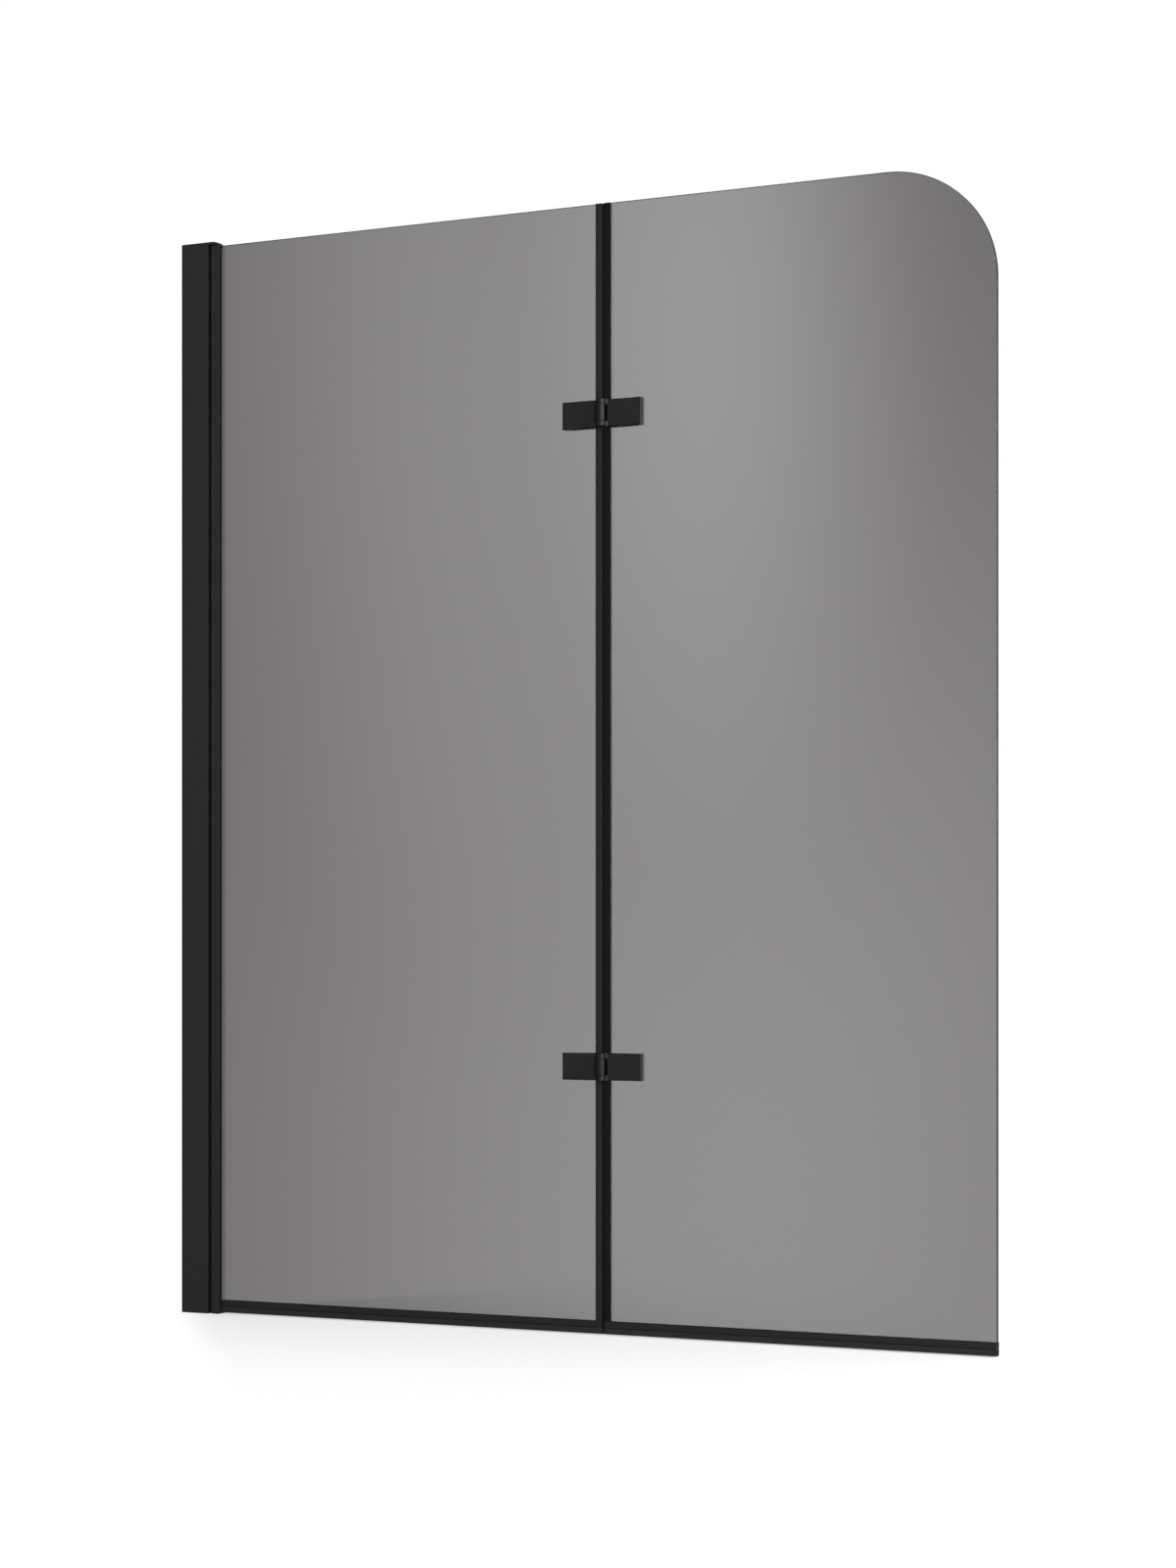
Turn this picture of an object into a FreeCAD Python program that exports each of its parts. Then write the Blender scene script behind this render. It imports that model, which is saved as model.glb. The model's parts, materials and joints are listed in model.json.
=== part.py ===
import FreeCAD, Part
import math
import os

# Folding bath screen: a wall channel, an adjusting profile with a fixed pane, and a pane hinged to it.
# X runs from the wall along the screen, Y from front to back, Z up from the bath rim.
# The origin lies on the wall face, in the middle of the glass thickness, at rim height.
# The hinges stand on the front, where Y is negative, and the second pane folds that way.

# Overall sizes
screen_width = 1100.0
joint_x = 600.0
glass_top = 1400.0
glass_thickness = 6.0
glass_arris = 0.6
top_corner_radius = 135.0
pane_gap = 5.2
seal_rim_gap = 1.5

# Gaps and fits
overrun = 5.0
slide_gap = 0.3
moving_gap = 0.3
plug_gap = 0.15
running_gap = 0.05
press_gap = 0.02
hole_gap = 0.1

# Wall channel, open away from the wall
channel_reach = 42.3
channel_depth = 26.6
channel_wall = 1.6
channel_web = 1.8
channel_corner_radius = 5.0
lip_outer_share = 0.7
lip_inner_share = 0.12
wall_hole_radius = 2.75
wall_hole_count = 4
wall_hole_end = 100.0

# Caps at the ends of the wall channel
top_cap_thickness = 3.5
top_cap_overhang = 8.0
top_cap_bulge = 3.3
top_cap_edge_radius = 0.8
bottom_cap_thickness = 1.5
cap_plug_depth = 8.0

# Adjusting profile: legs inside the channel, a recessed neck and a wider head that holds the glass
# between a long lip in front and a shorter one behind
head_length = 12.8
profile_tail = 16.0
profile_wall = 1.8
profile_top_gap = 1.0
neck_recess = 1.8
shadow_gap = 2.4
leg_pad_length = 13.0
neck_pocket_depth = 6.9
head_shoulder_radius = 2.0
head_nose_share = 0.8
back_lip_relief = 7.5
adjust_in = 2.0
adjust_out = 13.0

# Pieces that hold the fixed pane in the profile
glass_edge_gap = 1.7
gasket_leg = 1.5
gasket_face = 2.2
gasket_recess = 0.2
spacer_height = 50.0
spacer_reach = 6.5
spacer_count = 3
spacer_end = 80.0

# Lock screws on the back of the channel
lock_count = 3
lock_end = 150.0
lock_inset = 6.0
lock_screw_radius = 2.0
lock_head_radius = 3.8
lock_head_height = 2.4
lock_washer_radius = 5.5
lock_washer_thickness = 1.0
lock_cap_radius = 7.5
lock_cap_clearance = 0.6
lock_cap_wall = 1.0
lock_cap_edge_radius = 1.6

# Seals under the panes: a clip on the glass over a hollow wiper with a fin at the back
clip_height = 8.0
clip_wall = 2.5
clip_floor = 1.5
clip_edge_radius = 0.8
wiper_height = 8.0
wiper_wall = 1.2
wiper_edge_radius = 1.2
fin_reach = 2.0
fin_thickness = 0.9
fin_rise = 5.2
seal_joint_offset = 1.5
seal_joint_gap = 2.0

# Seals on the pane edges at the joint
edge_wall = 1.5
edge_nose = 1.4
edge_grip = 7.3
edge_radius = 0.7
bulb_radius = 2.6
hinge_seal_gap = 0.5

# Hinges
lower_hinge_rise = 332.0
upper_hinge_drop = 260.5
hinge_height = 33.5
leaf_reach = 52.8
leaf_thickness = 5.0
leaf_chamfer = 0.8
clamp_reach = 45.0
clamp_thickness = 4.0
hinge_pad_thickness = 1.0
axis_standoff = 3.0
knuckle_radius = 6.25
knuckle_chamfer = 0.4
middle_knuckle_height = 20.0
knuckle_slit = 1.95
root_radius = 4.0
pin_radius = 3.0
liner_wall = 1.2
hinge_washer_thickness = 0.4
hinge_washer_margin = 0.3

# Screws that clamp each leaf through the glass
screw_first = 15.0
screw_pitch = 18.0
screw_radius = 2.5
screw_head_radius = 4.7
screw_socket_sides = 6
screw_socket_flats = 3.0
screw_socket_depth = 1.6
screw_tip_gap = 0.4
leaf_skin = 1.0
glass_bush_radius = 5.0

# Places worked out from the sizes above
glass_half = glass_thickness / 2
channel_half = channel_depth / 2
channel_bottom = bottom_cap_thickness
channel_top = glass_top + slide_gap
head_half = channel_half - channel_wall - slide_gap
neck_half = head_half - neck_recess
pocket_half = neck_half - profile_wall
head_start = channel_reach + shadow_gap
profile_reach = head_start + head_length
back_lip_reach = profile_reach - back_lip_relief
pocket_floor = head_start - neck_pocket_depth
profile_bottom = bottom_cap_thickness + slide_gap
profile_top = glass_top - profile_top_gap
cap_plug_end = profile_tail - adjust_in - moving_gap
clip_bottom = seal_rim_gap + wiper_height
clip_top = clip_bottom + clip_height
clip_half = glass_half + clip_wall
glass_bottom = clip_bottom + clip_floor
fixed_glass_start = pocket_floor + glass_edge_gap
fixed_glass_end = joint_x - pane_gap / 2
folding_glass_start = joint_x + pane_gap / 2
fixed_seal_end = joint_x + seal_joint_offset - seal_joint_gap / 2
folding_seal_start = joint_x + seal_joint_offset + seal_joint_gap / 2
leaf_back = -glass_half - hinge_pad_thickness
leaf_front = leaf_back - leaf_thickness
clamp_front = glass_half + hinge_pad_thickness
clamp_back = clamp_front + clamp_thickness
axis_y = leaf_front - axis_standoff
lock_x = profile_tail + lock_inset
hinge_levels = {"lower": lower_hinge_rise, "upper": glass_top - upper_hinge_drop}

along_x = FreeCAD.Vector(1, 0, 0)
along_y = FreeCAD.Vector(0, 1, 0)
along_z = FreeCAD.Vector(0, 0, 1)


def block(x0, x1, y0, y1, z0, z1):
    """Box between two corners."""
    return Part.makeBox(x1 - x0, y1 - y0, z1 - z0, FreeCAD.Vector(x0, y0, z0))


def rod(x, y, z, radius, length, direction):
    """Round bar, or the tool for a round hole, from a centre point along a direction."""
    return Part.makeCylinder(radius, length, FreeCAD.Vector(x, y, z), direction)


def ring(x, y, z, inner_radius, outer_radius, length, direction):
    """Tube, washer or bush."""
    return rod(x, y, z, outer_radius, length, direction).cut(rod(x, y, z, inner_radius, length, direction))


def rounded_wire(corners):
    """Closed wire through (point, radius) corners, with a tangent arc at each that has a radius."""
    starts, ends, middles = [], [], []
    for index, (corner, radius) in enumerate(corners):
        before = (corners[index - 1][0] - corner).normalize()
        after = (corners[(index + 1) % len(corners)][0] - corner).normalize()
        half_angle = before.getAngle(after) / 2
        setback = radius / math.tan(half_angle)
        inward = (before + after).normalize() if radius else before
        starts.append(corner + before * setback)
        ends.append(corner + after * setback)
        middles.append(corner + inward * (radius / math.sin(half_angle) - radius))
    edges = []
    for index, (corner, radius) in enumerate(corners):
        if radius:
            edges.append(Part.Arc(starts[index], middles[index], ends[index]).toShape())
        edges.append(Part.makeLine(ends[index], starts[(index + 1) % len(corners)]))
    return Part.Wire(edges)


def plan_prism(corners, z0, z1):
    """Upright extrusion of an (x, y, radius) outline."""
    points = [(FreeCAD.Vector(x, y, z0), radius) for x, y, radius in corners]
    return Part.Face(rounded_wire(points)).extrude(along_z * (z1 - z0))


def sheet(corners, y0, y1):
    """Upright plate, from front to back, of an (x, z, radius) outline."""
    points = [(FreeCAD.Vector(x, y0, z), radius) for x, z, radius in corners]
    return Part.Face(rounded_wire(points)).extrude(along_y * (y1 - y0))


def side_prism(corners, x0, x1):
    """Extrusion along the screen of a (y, z, radius) outline."""
    points = [(FreeCAD.Vector(x0, y, z), radius) for y, z, radius in corners]
    return Part.Face(rounded_wire(points)).extrude(along_x * (x1 - x0))


def front_to_back(shape):
    """Mirror image on the other side of the glass."""
    return shape.mirror(FreeCAD.Vector(0, 0, 0), along_y)


def across_joint(shape):
    """Mirror image on the other side of the joint between the panes."""
    return shape.mirror(FreeCAD.Vector(joint_x, 0, 0), along_x)


def edges_in_plane(shape, axis, place):
    """Edges that lie wholly in the plane where one coordinate has a given value."""
    return [
        edge
        for edge in shape.Edges
        if abs(getattr(edge.BoundBox, axis + "Min") - place) < press_gap
        and abs(getattr(edge.BoundBox, axis + "Max") - place) < press_gap
    ]


def spread(first, last, count):
    """Evenly spaced places from first to last."""
    return [first + (last - first) * index / (count - 1) for index in range(count)]


def lock_levels():
    return spread(lock_end, glass_top - lock_end, lock_count)


def make_wall_channel():
    """Extruded U with round holes in its web and slots for the lock screws in its back flange."""
    inner_radius = channel_corner_radius - channel_wall
    inner_half = channel_half - channel_wall
    lip = channel_wall * lip_outer_share
    inner_lip = channel_wall * lip_inner_share
    cut_start = inner_half - overrun
    cut_end = channel_half + overrun
    channel = plan_prism(
        [
            (0, -channel_half, channel_corner_radius),
            (channel_reach, -channel_half, lip),
            (channel_reach, -inner_half, inner_lip),
            (channel_web, -inner_half, inner_radius),
            (channel_web, inner_half, inner_radius),
            (channel_reach, inner_half, inner_lip),
            (channel_reach, channel_half, lip),
            (0, channel_half, channel_corner_radius),
        ],
        channel_bottom,
        channel_top,
    )
    tools = []
    for level in spread(wall_hole_end, glass_top - wall_hole_end, wall_hole_count):
        tools.append(rod(-overrun, 0, level, wall_hole_radius, channel_web + 2 * overrun, along_x))
    slot_half = lock_screw_radius + moving_gap
    slot_start = lock_x - adjust_in
    slot_end = lock_x + adjust_out
    for level in lock_levels():
        tools.append(block(slot_start, slot_end, cut_start, cut_end, level - slot_half, level + slot_half))
        for end in (slot_start, slot_end):
            tools.append(rod(end, cut_start, level, slot_half, cut_end - cut_start, along_y))
    return channel.cut(tools)


def cap_plug(z0, z1):
    """Block that pushes into the end of the wall channel, behind the legs of the adjusting profile."""
    plug_half = channel_half - channel_wall - plug_gap
    start = channel_web + plug_gap
    radius = channel_corner_radius - channel_wall
    return plan_prism(
        [
            (start, -plug_half, radius),
            (cap_plug_end, -plug_half, 0),
            (cap_plug_end, plug_half, 0),
            (start, plug_half, radius),
        ],
        z0,
        z1,
    )


def make_channel_top_cap():
    """Lid over the channel, with a bowed end that reaches over the adjusting profile."""
    end_x = channel_reach + top_cap_overhang
    top = channel_top + top_cap_thickness
    straight = plan_prism(
        [
            (0, -channel_half, channel_corner_radius),
            (end_x, -channel_half, 0),
            (end_x, channel_half, 0),
            (0, channel_half, channel_corner_radius),
        ],
        channel_top,
        top,
    )
    front = FreeCAD.Vector(end_x, -channel_half, channel_top)
    tip = FreeCAD.Vector(end_x + top_cap_bulge, 0, channel_top)
    back = FreeCAD.Vector(end_x, channel_half, channel_top)
    bow = Part.Wire([Part.Arc(front, tip, back).toShape(), Part.makeLine(back, front)])
    lid = straight.fuse(Part.Face(bow).extrude(along_z * top_cap_thickness)).removeSplitter()
    lid = lid.makeFillet(top_cap_edge_radius, edges_in_plane(lid, "Z", top))
    return lid.fuse(cap_plug(channel_top - cap_plug_depth, channel_top)).removeSplitter()


def make_channel_bottom_cap():
    """Foot of the channel, which stands on the bath rim."""
    lip = channel_wall * lip_outer_share
    plate = plan_prism(
        [
            (0, -channel_half, channel_corner_radius),
            (channel_reach, -channel_half, lip),
            (channel_reach, channel_half, lip),
            (0, channel_half, channel_corner_radius),
        ],
        0,
        channel_bottom,
    )
    return plate.fuse(cap_plug(channel_bottom, channel_bottom + cap_plug_depth)).removeSplitter()


def profile_side(reach):
    """Back wall of the adjusting profile, from its sliding pad to the lip of the head at a given reach."""
    pad_end = profile_tail + leg_pad_length
    pocket_head_half = head_half - profile_wall
    head_inside = head_start + profile_wall
    return plan_prism(
        [
            (profile_tail, pocket_half, 0),
            (profile_tail, head_half, 0),
            (pad_end, head_half, 0),
            (pad_end, neck_half, 0),
            (head_start, neck_half, 0),
            (head_start, head_half, head_shoulder_radius),
            (reach, head_half, profile_wall * head_nose_share),
            (reach, pocket_head_half, 0),
            (head_inside, pocket_head_half, 0),
            (head_inside, pocket_half, 0),
        ],
        profile_bottom,
        profile_top,
    )


def make_adjusting_profile():
    """Two sides and two webs, face to face: a closed chamber, a neck and a head with a glass pocket."""
    webs = [
        block(start, start + profile_wall, -pocket_half, pocket_half, profile_bottom, profile_top)
        for start in (profile_tail, pocket_floor - profile_wall)
    ]
    bore = lock_screw_radius + press_gap
    bores = [rod(lock_x, 0, level, bore, channel_half, along_y) for level in lock_levels()]
    back = profile_side(back_lip_reach).cut(bores).Solids[0]
    front = front_to_back(profile_side(profile_reach))
    return Part.makeCompound([back, front, *webs])


def make_profile_foot():
    """Plate under the head with a block that carries the fixed pane."""
    nose = profile_wall * head_nose_share
    plate = plan_prism(
        [
            (head_start, -head_half, head_shoulder_radius),
            (profile_reach, -head_half, nose),
            (profile_reach, head_half, nose),
            (head_start, head_half, head_shoulder_radius),
        ],
        0,
        profile_bottom,
    )
    plug_half = pocket_half - plug_gap
    plug_start = pocket_floor + plug_gap
    plug_end = head_start + profile_wall - plug_gap
    plug = block(plug_start, plug_end, -plug_half, plug_half, profile_bottom, glass_bottom)
    return plate.fuse(plug).removeSplitter()


def make_glazing_gasket(lip_reach):
    """Wedge between the back face of the glass and the head, with its face at the mouth."""
    start = head_start + profile_wall
    end = lip_reach - gasket_recess
    outer = head_half - profile_wall
    return plan_prism(
        [
            (start, glass_half, 0),
            (end, glass_half, 0),
            (end, outer, 0),
            (start, outer, 0),
            (start, outer - gasket_leg, 0),
            (end - gasket_face, outer - gasket_leg, 0),
            (end - gasket_face, glass_half + gasket_leg, 0),
            (start, glass_half + gasket_leg, 0),
        ],
        profile_bottom,
        profile_top,
    )


def make_edge_spacers():
    """Saddles on the hidden edge of the fixed pane, which centre it in the neck."""
    saddles = []
    half = pocket_half - plug_gap
    for level in spread(spacer_end, glass_top - spacer_end, spacer_count):
        z0 = level - spacer_height / 2
        z1 = level + spacer_height / 2
        saddle = block(pocket_floor, pocket_floor + spacer_reach, -half, half, z0, z1)
        slot = block(fixed_glass_start, profile_reach, -glass_half, glass_half, z0 - overrun, z1 + overrun)
        saddles.append(saddle.cut(slot))
    return Part.makeCompound(saddles)


def screw_offsets():
    """Distances of the clamp screws from the joint."""
    first = pane_gap / 2 + screw_first
    return [first, first + screw_pitch]


def arrised(pane):
    """Pane with the small ground bevel round its two faces."""
    edges = edges_in_plane(pane, "Y", -glass_half) + edges_in_plane(pane, "Y", glass_half)
    return pane.makeChamfer(glass_arris, edges)


def with_hinge_holes(pane, side):
    """Pane with the holes for the clamp screws and their bushes."""
    radius = glass_bush_radius + hole_gap
    length = glass_thickness + 2 * overrun
    tools = [
        rod(joint_x + side * offset, -glass_half - overrun, level, radius, length, along_y)
        for level in hinge_levels.values()
        for offset in screw_offsets()
    ]
    return pane.cut(tools)


def make_fixed_glass():
    pane = block(fixed_glass_start, fixed_glass_end, -glass_half, glass_half, glass_bottom, glass_top)
    return with_hinge_holes(arrised(pane), -1)


def make_folding_glass():
    """Pane with a large radius at its free upper corner."""
    pane = sheet(
        [
            (folding_glass_start, glass_bottom, 0),
            (screen_width, glass_bottom, 0),
            (screen_width, glass_top, top_corner_radius),
            (folding_glass_start, glass_top, 0),
        ],
        -glass_half,
        glass_half,
    )
    return with_hinge_holes(arrised(pane), 1)


def make_lock_screws():
    """Pan head screws that hold the adjusting profile in the channel."""
    screws = []
    head_y = channel_half + running_gap + lock_washer_thickness
    tip_y = pocket_half
    for level in lock_levels():
        shank = rod(lock_x, tip_y, level, lock_screw_radius, head_y - tip_y, along_y)
        head = rod(lock_x, head_y, level, lock_head_radius, lock_head_height, along_y)
        screws.append(shank.fuse(head).removeSplitter())
    return Part.makeCompound(screws)


def make_lock_washers():
    base = channel_half + running_gap
    bore = lock_screw_radius + hole_gap
    return Part.makeCompound(
        [
            ring(lock_x, base, level, bore, lock_washer_radius, lock_washer_thickness, along_y)
            for level in lock_levels()
        ]
    )


def make_lock_screw_caps():
    """Domed caps that snap over the lock washers."""
    caps = []
    base = channel_half + running_gap
    inner_height = lock_washer_thickness + lock_head_height + lock_cap_clearance
    height = inner_height + lock_cap_wall
    for level in lock_levels():
        dome = rod(lock_x, base, level, lock_cap_radius, height, along_y)
        dome = dome.makeFillet(lock_cap_edge_radius, edges_in_plane(dome, "Y", base + height))
        hollow = rod(lock_x, base, level, lock_washer_radius + press_gap, inner_height, along_y)
        caps.append(dome.cut(hollow))
    return Part.makeCompound(caps)


def make_bottom_clip(x0, x1):
    """Upper part of a bottom seal, which grips the lower edge of a pane."""
    edge = clip_edge_radius
    return side_prism(
        [
            (-clip_half, clip_bottom, edge),
            (clip_half, clip_bottom, edge),
            (clip_half, clip_top, edge),
            (glass_half, clip_top, 0),
            (glass_half, glass_bottom, 0),
            (-glass_half, glass_bottom, 0),
            (-glass_half, clip_top, 0),
            (-clip_half, clip_top, edge),
        ],
        x0,
        x1,
    )


def make_wiper(x0, x1):
    """Lower part of a bottom seal: a hollow bar with a fin along its back."""
    edge = wiper_edge_radius
    fin_z = seal_rim_gap + fin_rise
    bar = side_prism(
        [
            (-clip_half, seal_rim_gap, edge),
            (clip_half, seal_rim_gap, edge),
            (clip_half, fin_z, 0),
            (clip_half + fin_reach, fin_z, 0),
            (clip_half, fin_z + fin_thickness, 0),
            (clip_half, clip_bottom, edge),
            (-clip_half, clip_bottom, edge),
        ],
        x0,
        x1,
    )
    half = clip_half - wiper_wall
    floor = seal_rim_gap + wiper_wall
    ceiling = clip_bottom - wiper_wall
    return bar.cut(block(x0 - overrun, x1 + overrun, -half, half, floor, ceiling))


def edge_seal_spans(bottom):
    """Upright stretches of a joint seal between the hinges, as {name: (z0, z1)}."""
    reach = hinge_height / 2 + hinge_seal_gap
    return {
        "lower": (bottom, hinge_levels["lower"] - reach),
        "middle": (hinge_levels["lower"] + reach, hinge_levels["upper"] - reach),
        "upper": (hinge_levels["upper"] + reach, glass_top),
    }


def make_folding_edge_seal(z0, z1):
    """Clip on the hinged edge of the folding pane, with a flat nose."""
    nose = folding_glass_start - edge_nose
    half = glass_half + edge_wall
    end = folding_glass_start + edge_grip
    return plan_prism(
        [
            (nose, -half, edge_radius),
            (end, -half, edge_radius),
            (end, -glass_half, 0),
            (folding_glass_start, -glass_half, 0),
            (folding_glass_start, glass_half, 0),
            (end, glass_half, 0),
            (end, half, edge_radius),
            (nose, half, edge_radius),
        ],
        z0,
        z1,
    )


def make_fixed_edge_seal(z0, z1):
    """Clip on the edge of the fixed pane, with a bulb that meets the other seal's nose."""
    clip = across_joint(make_folding_edge_seal(z0, z1))
    bulb_tip = folding_glass_start - edge_nose - moving_gap
    bulb = rod(bulb_tip - bulb_radius, 0, z0, bulb_radius, z1 - z0, along_z)
    groove_start = fixed_glass_end - edge_grip - overrun
    groove = block(groove_start, fixed_glass_end, -glass_half, glass_half, z0 - overrun, z1 + overrun)
    return clip.fuse(bulb).cut(groove).removeSplitter()


def middle_span(level, washers):
    """Height taken by the fixed leaf's middle knuckle, with or without the washers on its ends."""
    half = middle_knuckle_height / 2
    if washers:
        half += hinge_washer_thickness + 2 * running_gap
    return [(level - half, level + half)]


def end_spans(level, washers):
    """Heights taken by the folding leaf's end knuckles, with or without the washers under them."""
    half = hinge_height / 2
    low, high = middle_span(level, not washers)[0]
    return [(level - half, low), (high, level + half)]


def make_leaf(level, own, others, bore_radius):
    """Front plate of a hinge right of the joint, with its own knuckles and room for the other leaf's."""
    half = hinge_height / 2
    start = joint_x + pane_gap / 2
    end = joint_x + leaf_reach
    plate = block(start, end, leaf_front, leaf_back, level - half, level + half)
    border = edges_in_plane(plate, "Y", leaf_front)
    border = [edge for edge in border if edge.BoundBox.XMax > start + leaf_chamfer]
    plate = plate.makeChamfer(leaf_chamfer, border)
    for z0, z1 in others:
        plate = plate.cut(rod(joint_x, axis_y, z0, knuckle_radius + knuckle_slit, z1 - z0, along_z))
    root_y = leaf_front - root_radius
    root_x = joint_x + math.sqrt((knuckle_radius + root_radius) ** 2 - (root_y - axis_y) ** 2)
    for z0, z1 in own:
        barrel = rod(joint_x, axis_y, z0, knuckle_radius, z1 - z0, along_z)
        rims = edges_in_plane(barrel, "Z", z0) + edges_in_plane(barrel, "Z", z1)
        barrel = barrel.makeChamfer(knuckle_chamfer, rims)
        root = plan_prism(
            [
                (joint_x, axis_y, 0),
                (root_x, root_y, 0),
                (root_x, leaf_back, 0),
                (start, leaf_back, 0),
            ],
            z0,
            z1,
        )
        hollow = rod(root_x, root_y, z0 - overrun, root_radius, z1 - z0 + 2 * overrun, along_z)
        plate = plate.fuse([barrel, root.cut(hollow)])
    for z0, z1 in own:
        plate = plate.cut(rod(joint_x, axis_y, z0 - overrun, bore_radius, z1 - z0 + 2 * overrun, along_z))
    depth = leaf_thickness - leaf_skin + overrun
    for offset in screw_offsets():
        hole = rod(joint_x + offset, leaf_front + leaf_skin, level, screw_radius + press_gap, depth, along_y)
        plate = plate.cut(hole)
    return plate.removeSplitter()


def make_clamp(level):
    """Back plate of a hinge right of the joint, with countersunk holes."""
    half = hinge_height / 2
    start = joint_x + pane_gap / 2
    plate = block(start, joint_x + clamp_reach, clamp_front, clamp_back, level - half, level + half)
    plate = plate.makeChamfer(leaf_chamfer, edges_in_plane(plate, "Y", clamp_back))
    sink = screw_head_radius - screw_radius
    hole_radius = screw_radius + hole_gap
    hole_length = clamp_thickness + 2 * overrun
    for offset in screw_offsets():
        x = joint_x + offset
        hole = rod(x, clamp_front - overrun, level, hole_radius, hole_length, along_y)
        seat = FreeCAD.Vector(x, clamp_back - sink, level)
        cone = Part.makeCone(hole_radius, hole_radius + sink, sink, seat, along_y)
        plate = plate.cut([hole, cone])
    return plate


def make_hinge_pad(level, reach, y0):
    """Soft pad between the glass and a plate, right of the joint."""
    half = hinge_height / 2 - leaf_chamfer
    start = joint_x + pane_gap / 2
    y1 = y0 + hinge_pad_thickness
    pad = block(start, joint_x + reach - leaf_chamfer, y0, y1, level - half, level + half)
    hole_length = hinge_pad_thickness + 2 * overrun
    tools = [
        rod(joint_x + offset, y0 - overrun, level, screw_radius + hole_gap, hole_length, along_y)
        for offset in screw_offsets()
    ]
    return pad.cut(tools)


def make_glass_bushes(level):
    """Sleeves in the glass holes, right of the joint."""
    bore = screw_radius + hole_gap
    return Part.makeCompound(
        [
            ring(joint_x + offset, -glass_half, level, bore, glass_bush_radius, glass_thickness, along_y)
            for offset in screw_offsets()
        ]
    )


def hex_bar(x, y, z, length):
    """Tool for the socket of a clamp screw."""
    turns = [math.tau * corner / screw_socket_sides for corner in range(screw_socket_sides + 1)]
    reach = screw_socket_flats / 2 / math.cos(math.pi / screw_socket_sides)
    points = [FreeCAD.Vector(x + reach * math.cos(turn), y, z + reach * math.sin(turn)) for turn in turns]
    return Part.Face(Part.makePolygon(points)).extrude(along_y * length)


def make_clamp_screws(level):
    """Countersunk socket screws from the back plate into the front plate, right of the joint."""
    tip = leaf_front + leaf_skin + screw_tip_gap
    sink = screw_head_radius - screw_radius
    screws = []
    for offset in screw_offsets():
        x = joint_x + offset
        shank = rod(x, tip, level, screw_radius, clamp_back - sink - tip, along_y)
        neck = FreeCAD.Vector(x, clamp_back - sink, level)
        head = Part.makeCone(screw_radius, screw_head_radius, sink, neck, along_y)
        socket = hex_bar(x, clamp_back - screw_socket_depth, level, screw_socket_depth + overrun)
        screws.append(shank.fuse(head).removeSplitter().cut(socket))
    return Part.makeCompound(screws)


def make_pin(level):
    half = hinge_height / 2
    pin = rod(joint_x, axis_y, level - half, pin_radius, hinge_height, along_z)
    ends = edges_in_plane(pin, "Z", level - half) + edges_in_plane(pin, "Z", level + half)
    return pin.makeChamfer(knuckle_chamfer, ends)


def make_liner(level):
    """Plastic sleeve in the middle knuckle, in which the pin turns."""
    inner = pin_radius + running_gap
    z0 = level - middle_knuckle_height / 2
    return ring(joint_x, axis_y, z0, inner, inner + liner_wall, middle_knuckle_height, along_z)


def make_hinge_washers(level):
    inner = pin_radius + press_gap
    outer = knuckle_radius - hinge_washer_margin
    top = level + middle_knuckle_height / 2 + running_gap
    bottom = level - middle_knuckle_height / 2 - running_gap - hinge_washer_thickness
    return Part.makeCompound(
        [ring(joint_x, axis_y, z0, inner, outer, hinge_washer_thickness, along_z) for z0 in (bottom, top)]
    )


def make_hinge(name, level):
    """All pieces of one hinge, by node name."""
    liner_bore = pin_radius + running_gap + liner_wall + press_gap
    folding_leaf = make_leaf(level, end_spans(level, False), middle_span(level, True), pin_radius + press_gap)
    fixed_leaf = make_leaf(level, middle_span(level, False), end_spans(level, True), liner_bore)
    pieces = {
        "folding_leaf": folding_leaf,
        "fixed_leaf": across_joint(fixed_leaf),
        "pin": make_pin(level),
        "pin_liner": make_liner(level),
        "washers": make_hinge_washers(level),
    }
    shared = {
        "clamp": make_clamp(level),
        "front_pad": make_hinge_pad(level, leaf_reach, leaf_back),
        "back_pad": make_hinge_pad(level, clamp_reach, glass_half),
        "glass_bushes": make_glass_bushes(level),
        "screws": make_clamp_screws(level),
    }
    for piece, shape in shared.items():
        pieces["folding_" + piece] = shape
        pieces["fixed_" + piece] = across_joint(shape)
    return {name + "_hinge_" + piece: shape for piece, shape in pieces.items()}


def make_nodes():
    """Every piece of the screen, by node name."""
    seal_start = profile_reach + press_gap
    clip_end = fixed_glass_end - edge_grip
    nodes = {
        "wall_channel": make_wall_channel(),
        "channel_top_cap": make_channel_top_cap(),
        "channel_bottom_cap": make_channel_bottom_cap(),
        "adjusting_profile": make_adjusting_profile(),
        "profile_foot": make_profile_foot(),
        "back_glazing_gasket": make_glazing_gasket(back_lip_reach),
        "front_glazing_gasket": front_to_back(make_glazing_gasket(profile_reach)),
        "glass_edge_spacers": make_edge_spacers(),
        "fixed_glass": make_fixed_glass(),
        "folding_glass": make_folding_glass(),
        "lock_screws": make_lock_screws(),
        "lock_washers": make_lock_washers(),
        "lock_screw_caps": make_lock_screw_caps(),
        "fixed_bottom_clip": make_bottom_clip(seal_start, clip_end),
        "fixed_wiper": make_wiper(seal_start, fixed_seal_end),
        "folding_bottom_clip": make_bottom_clip(folding_seal_start, screen_width),
        "folding_wiper": make_wiper(folding_seal_start, screen_width),
    }
    for span, (z0, z1) in edge_seal_spans(clip_bottom).items():
        nodes["fixed_edge_seal_" + span] = make_fixed_edge_seal(z0, z1)
    for span, (z0, z1) in edge_seal_spans(clip_top).items():
        nodes["folding_edge_seal_" + span] = make_folding_edge_seal(z0, z1)
    for name, level in hinge_levels.items():
        nodes.update(make_hinge(name, level))
    return nodes


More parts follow.
